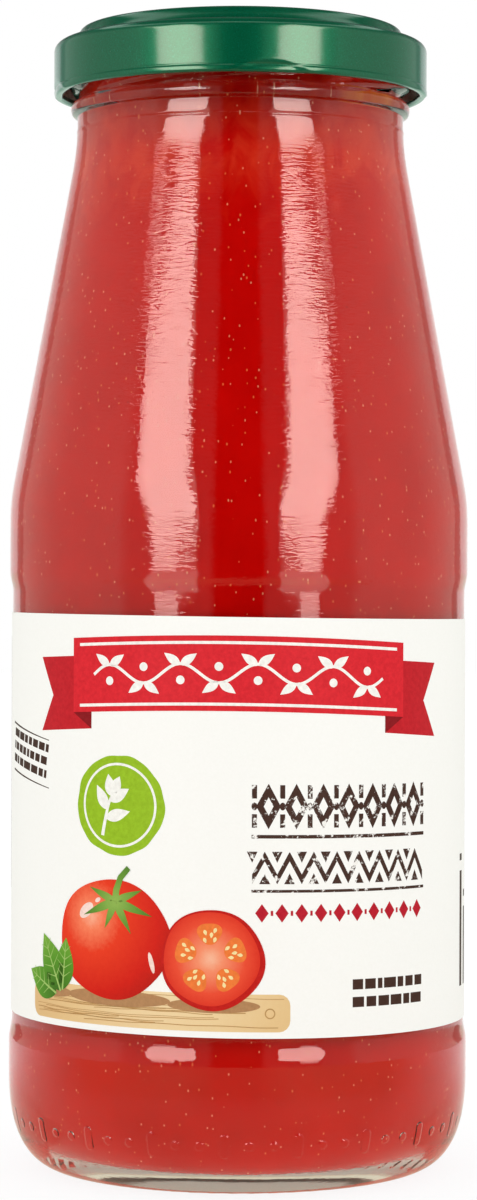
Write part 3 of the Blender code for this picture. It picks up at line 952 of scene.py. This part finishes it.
# the sides' and the back's small print, as rows_of_bars takes it
BACK_ROWS = ((-65.0, -51.2, 54.4, 5, 1.45, 0.75, 12, 0.2),
             (-65.0, -51.2, 45.7, 8, 1.4, 0.7, 13, 0.45),
             (-65.0, -51.2, 33.4, 10, 1.45, 0.75, 14, 0.35),
             (-64.5, -52.0, 14.5, 5, 1.9, 0.8, 15, 0.3),
             (63.5, 78.0, 34.6, 7, 4.1, 1.0, 16, 0.5),
             (84.5, 93.0, 34.6, 7, 4.1, 1.0, 17, 0.4),
             (62.5, 94.5, 54.5, 9, 1.75, 0.85, 18, 0.3),
             (-98.0, -72.0, 54.5, 12, 1.75, 0.85, 19, 0.3),
             (-98.0, -72.0, 30.5, 7, 1.75, 0.85, 20, 0.35))


def add_back_print():
    """A narrow and a wide panel with rules between rows of bars, bars on the back, and a row of
    green leaves over two lines."""
    lines = [frame_of(-66.0, 18.0, -50.0, 55.5, 1.6, 0.16)]
    lines += [[box(-65.4, v, -50.6, v + 0.12)] for v in (46.3, 34.0)]
    lines += [frame_of(62.0, 6.0, 95.0, 35.0, 1.2, 0.2)]
    lines += [[box(62.6, v, 94.4, v + 0.14)] for v in (10.1, 14.2, 18.3, 22.4, 26.5, 30.6)]
    for row in BACK_ROWS:
        lines += rows_of_bars(*row)
    add_ink("fine_lines", lines, 1, (0.15, 0.11, 0.09))
    greens = [[leaf(-97.0 + 2.45 * index, 12.0, 2.6, 1.2, 62 if index % 2 else 118)]
              for index in range(11)]
    greens += [[box(-98.0, v, -72.0, v + 0.5)] for v in (7.6, 5.0)]
    add_ink("green_leaves", greens, 1, (0.17, 0.38, 0.02))


def add_print():
    add_banner()
    add_roundel(-17.8, 32.2)
    add_friezes()
    add_board()
    add_tomato()
    add_cut_tomato()
    add_basil()
    add_small_print()
    add_back_print()


TIN = 0.3


def lid_outline():
    """From the axis down the outside, round the curl and up the inside back to the axis.
    Returns the outline and how many of its points are on the lacquered outside."""
    skirt = LID_RADIUS - 0.06
    curl = LID_RADIUS - 1.15
    button, plate, groove, channel = (LID_TOP - depth for depth in (1.25, 0.8, 1.3, 2.0))
    edge = channel - 0.25
    outside = spaced(rounded([
        (0, button, 0), (8.8, button, 3),
        (10.0, plate, 2), (18.9, plate, 1),
        (19.8, groove, 0.6), (21.0, groove, 0.6),
        (CREST - 1.0, LID_TOP, 0.9), (CREST + 0.9, LID_TOP, 0.9),
        (24.75, channel, 0.45), (25.5, channel, 0.5),
        (skirt, edge, 2.0), (skirt, LID_BOTTOM + 1.3, 0.4),
        (skirt - 0.035, LID_BOTTOM + 1.1, 0.3), (LID_RADIUS, LID_BOTTOM + 0.8, 0.5),
        (LID_RADIUS, LID_BOTTOM, 0.45), (curl, LID_BOTTOM, 0.45),
        (curl, LID_BOTTOM + 0.9, 0.3),
    ], 0.3), lambda height: 0.3 if height < LID_BOTTOM + 4 else 1.0)
    inside = spaced(rounded([
        (curl, LID_BOTTOM + 0.9, 0), (skirt - TIN, LID_BOTTOM + 1.35, 0.3),
        (skirt - TIN, edge - TIN, 1.6), (24.75 - TIN, channel - TIN, 0.4),
        (CREST + 0.7, LID_TOP - TIN, 0.6), (CREST - 0.8, LID_TOP - TIN, 0.6),
        (21.0 + TIN, groove - TIN, 0.3), (19.8 - TIN, groove - TIN, 0.3),
        (18.9 - TIN, plate - TIN, 0.5), (10.0, plate - TIN, 2),
        (8.8, button - TIN, 3), (0, button - TIN, 0),
    ], 0.3), 1.0)[1:]
    return [*outside, *inside], len(outside)


LUGS = 4
LUG_ANGLE = 9.0
LUG_HALF_ANGLE = 14.0
LUG_HEIGHT = 1.9
LUG_PRESS = 0.26


def press_lugs(radii, heights, angles):
    """The lugs are pressed in along the lower edge, each under an arch."""
    pitch = 360 / LUGS
    turn = (np.degrees(angles) - LUG_ANGLE + pitch / 2) % pitch - pitch / 2
    share = np.clip(1 - (turn / LUG_HALF_ANGLE) ** 2, 0, 1)
    arch = LID_BOTTOM + LUG_HEIGHT * share
    depth = np.clip((arch - heights) / 0.9, 0, 1)
    depth = depth * depth * (3 - 2 * depth) * np.sqrt(share)
    return radii - LUG_PRESS * depth * (radii > 25), heights


def add_lid(lacquer, tin, gasket):
    outline, outer = lid_outline()
    rings = turned(outline[::-1], 360, press_lugs)
    vertices, faces = joined(rings)
    edge = sum(len(points) for points in rings[:len(outline) - outer + 1])
    which = [1 if np.mean(face) < edge else 0 for face in faces]
    add_piece("lid_shell", vertices, faces, [lacquer, tin], "green_lacquer", "lid", which)
    low, high = BRIM + 0.02, LID_TOP - 0.38
    soft = rounded([(CREST + out, height, rounding) for out, height, rounding in (
        (0, low, 0), (0.85, low, 0.3), (0.8, high - 0.3, 0.3), (0.4, high, 0.2),
        (-0.4, high, 0.2), (-0.8, high - 0.3, 0.3), (-0.85, low, 0.3), (0, low, 0))])
    add_piece("lid_gasket", *joined(turned(soft[:-1], 180), closed=True), [gasket],
              "green_lacquer")


# ---- studio ----

CAMERA_PLACE = (-0.00004, -0.518, 0.0862)  # metres
CAMERA_DOWN = 0.19  # degrees
CAMERA_ROLL = 0.19


def add_camera():
    data = bpy.data.cameras.new("camera")
    data.sensor_width = 36.0
    data.lens = 103.64
    data.clip_start = 0.01
    data.clip_end = 20.0
    camera = bpy.data.objects.new("camera", data)
    camera.location = CAMERA_PLACE
    camera.rotation_euler = (radians(90 - CAMERA_DOWN), -radians(CAMERA_ROLL), 0.0)
    bpy.context.scene.collection.objects.link(camera)
    bpy.context.scene.camera = camera


def add_stage(name, vertices, faces, surface):
    """A part of the studio, which is no part of the object."""
    made = mesh_object(name, vertices, faces, [surface])
    return made


# What only mirrors see: how bright the room is all round, and the light on the floor. Both are
# (angle from the front, level). The last part of the room, behind the bottle, is white.
WALL_LEVELS = ((0, 0.0), (11.5, 0.0), (14.5, 0.27), (39, 0.27), (43, 0.5), (57, 0.52), (63, 0.90),
               (82, 0.83), (100, 0.74), (137, 0.76), (139, 0.35), (146, 0.35), (149, 1.0),
               (180, 1.0))
WALL_TINT = (0.86, 0.98, 0.85)
WHITE_ANGLE = 148
WHITE_TINT = (1.0, 1.0, 0.97)
GLOW_LEVELS = ((0, 0.60), (8, 0.64), (24, 1.28), (44, 1.24), (70, 1.05), (180, 1.05))
# painted shadow of the bottle on the floor, darkest at the ring that it stands on, as its base
# shows it: (distance in millimetres, level)
CONTACT_SHADOW_LEVELS = ((20.0, 0.62), (22.6, 0.58), (23.1, 0.07), (23.7, 0.06), (24.3, 0.66),
               (25.2, 0.68), (25.6, 0.60), (30.0, 1.0))
RING_REACH = 50.0
TABLE_EDGE = (0.236, 0.262)  # metres from the middle, from table to room
FLOOR_HALF = 3.0  # metres


def tinted_walls(tint, white_tint):
    """The stops of WALL_LEVELS, as shares of half a turn, in colour."""
    return [(angle / 180, tuple(level * part for part in (
        tint if angle < WHITE_ANGLE else white_tint))) for angle, level in WALL_LEVELS]


def add_floor():
    """A white floor. Only glass and lacquer see that it is warm in front, as bright as the room
    beyond the table's edge, and only glass sees its painted shadow where the bottle stands on it."""
    floor = Surface("floor")
    rays = floor.rays()
    camera, glossy = rays["Is Camera Ray"], rays["Is Glossy Ray"]
    through = floor.times(rays["Is Transmission Ray"],
                          floor.math("MINIMUM", rays["Diffuse Depth"], 1.0))
    refracted = floor.minus(rays["Is Transmission Ray"], through)
    x, y, _ = floor.parts(floor.place())
    away = floor.size(x, y)
    share = floor.either_way(x, y)
    far = floor.span(away, *TABLE_EDGE)
    near = floor.span(away, 0.115, 0.055)
    beside = floor.span(away, 0.055, 0.075)
    behind = floor.span(y, -0.05, 0.10)
    mirror = floor.times(rays["Is Reflection Ray"], glossy)
    reflected = floor.math("MAXIMUM", mirror, floor.times(refracted, beside))
    seen = floor.math("MAXIMUM", camera, glossy)

    glow = floor.ramp(share, *((angle / 180, level) for angle, level in GLOW_LEVELS))
    glow = floor.mix(near, glow, 1.12)
    table = floor.tinted(floor.mix(behind, (0.56, 0.46, 0.27), WHITE_TINT), glow)
    walls = floor.ramp(share, *tinted_walls(WALL_TINT, WALL_TINT))
    # painted shadow of the bottle where it stands, seen only through the glass; noise makes its
    # ring uneven
    patchiness = floor.minus(floor.noise(90.0, 3.0, 0.6), 0.5)
    ring_away = floor.over(floor.times_plus(patchiness, 0.0014, away), RING_REACH * MM)
    ring_shade = floor.ramp(ring_away, *((distance / RING_REACH, level)
                                         for distance, level in CONTACT_SHADOW_LEVELS))
    # rays through the glass see the floor under the bottle cream, darkened by its painted shadow
    lit = floor.mix(refracted, 1.0, floor.tinted((0.86, 0.82, 0.70), ring_shade))
    lit = floor.mix(reflected, lit, floor.mix(far, table, walls))

    colour = floor.mix(seen, 0.86, 0.12)
    # the painted shadow darkens the floor's colour too, for rays through the glass
    colour = floor.mix(refracted, colour, floor.mix(ring_shade, 0.0, 0.28))
    table_colour = floor.mix(behind, (0.20, 0.165, 0.11), (0.34, 0.34, 0.33))
    colour = floor.mix(reflected, colour, floor.mix(far, table_colour, 0.0))
    lift = floor.times_plus(floor.times(reflected, far), 0.34, 0.66)
    lift = floor.times_plus(camera, 0.22, floor.times_plus(through, 0.6, lift))
    plain = floor.math("MAXIMUM", camera, through)
    floor.set(Roughness=0.9, Specular_IOR_Level=0.0, Base_Color=colour,
              Emission_Color=floor.mix(plain, lit, 1.0), Emission_Strength=floor.times(seen, lift))
    add_stage("floor", [(u * FLOOR_HALF, v * FLOOR_HALF, 0) for u, v in box(-1, -1, 1, 1)],
              [(0, 1, 2, 3)], floor.made)


CARD_DISTANCE = 600.0
CARD_RADIANCE = 9.3
CARD_COLOUR = (1.0, 0.79, 0.73, 1)
CARD_COLUMNS = 8
# (height, inner angle, outer angle) of a card's edges, from its foot up
CARD_EDGES = ((20, 30, 39), (90, 30, 39.5), (101, 21.5, 41), (142, 19.5, 43), (265, 22.8, 49.2),
              (345, 25.8, 52.5), (364, 26.9, 52.5), (391, 27.8, 48), (414, 28.6, 44),
              (434, 30, 41), (450, 32, 38))
LEFT_WIDER = 2.0
WING_EDGES = ((372, 54.5, 56), (388, 52.5, 58.5), (404, 51, 60), (420, 51.5, 60), (430, 54, 58))
WING_SHARE = 0.45  # of a card's radiance


def card_surface(name, radiance):
    """A lamp that only mirrors see, dimmer towards its foot."""
    card = Surface(name)
    card.tree.nodes.remove(card.shader)
    direct = card.minus(1.0, card.math("MINIMUM", card.rays()["Diffuse Depth"], 1.0))
    foot = card.span(card.parts(card.place())["Z"], 0.02, 0.105)
    emission = card.node("Emission", {
        "Strength": card.times(card.times(direct, radiance), foot), "Color": CARD_COLOUR})
    card.put(emission.outputs[0], card.output.inputs["Surface"])
    return card.made


def add_card(name, edges, side, surface):
    vertices = []
    for height, inner, outer in edges:
        outer += LEFT_WIDER if side < 0 else 0.0
        for angle in np.radians(np.linspace(inner, outer, CARD_COLUMNS + 1)) * side:
            vertices.append((CARD_DISTANCE * MM * sin(angle),
                             -CARD_DISTANCE * MM * cos(angle), height * MM))
    row = CARD_COLUMNS + 1
    faces = [(a, a + 1, a + row + 1, a + row) for r in range(len(edges) - 1)
             for a in range(r * row, r * row + CARD_COLUMNS)]
    card = add_stage(name, vertices, faces, surface)
    card.visible_camera = False
    card.visible_diffuse = False
    card.visible_shadow = False


def add_cards():
    card = card_surface("card", CARD_RADIANCE)
    wing = card_surface("card_wing", WING_SHARE * CARD_RADIANCE)
    for side, place in ((-1, "left"), (1, "right")):
        add_card("card_" + place, CARD_EDGES, side, card)
        add_card("wing_" + place, WING_EDGES, side, wing)


PLAIN_LEVEL = 1.04
UPWARD_GAIN = 0.10
THROUGH_GLASS_LEVEL = 2.05  # makes up for the light that the glass keeps from what it holds
LAMP_LEVEL = 1.8


def add_world():
    """Plain light, brighter for what is inside the glass. Mirrors see the room's walls under a
    dark ceiling, and a long lamp over the table, high in front."""
    world = bpy.data.worlds.new("studio")
    bpy.context.scene.world = world
    world.use_nodes = True
    world.cycles.sampling_method = "NONE"
    room = Nodes(world.node_tree)
    x, y, z = room.parts(room.node("TexCoord").outputs["Generated"])
    share = room.either_way(x, y)
    walls = room.ramp(share, *tinted_walls(WALL_TINT, WHITE_TINT))
    rays = room.rays()
    scattered = room.math("MINIMUM", rays["Diffuse Depth"], 1.0)
    mirrored = room.times(rays["Is Glossy Ray"], room.minus(1.0, scattered))
    through = room.times(rays["Is Transmission Ray"], scattered)
    back = room.math("GREATER_THAN", share, WHITE_ANGLE / 180)
    # the ceiling starts lower behind the bottle than in front of it
    overhead = room.span(z, room.times_plus(back, -0.20, 0.32), room.times_plus(back, -0.27, 0.62),
                         1.0, 0.14)
    lamp = room.times(room.ramp(z, (0.64, 0.0), (0.68, 1.0), (0.76, 1.0), (0.81, 0.0)),
                      room.minus(1.0, back))
    mirror_level = room.mix(lamp, room.mix(overhead, 0.0, walls), LAMP_LEVEL)
    light = room.mix(mirrored, room.times_plus(z, UPWARD_GAIN, PLAIN_LEVEL), mirror_level)
    light = room.mix(through, light, THROUGH_GLASS_LEVEL)
    light = room.mix(rays["Is Camera Ray"], light, 1.0)
    room.put(light, world.node_tree.nodes["Background"].inputs["Color"])


# ---- scene ----

bpy.context.scene.view_settings.view_transform = "Standard"
add_camera()
add_floor()
add_cards()
add_world()
add_bottle(glass_surface())
add_passata(passata_surface())
add_label(paper_surface())
add_print()
add_lid(lacquer_surface(), tin_surface(), gasket_surface())
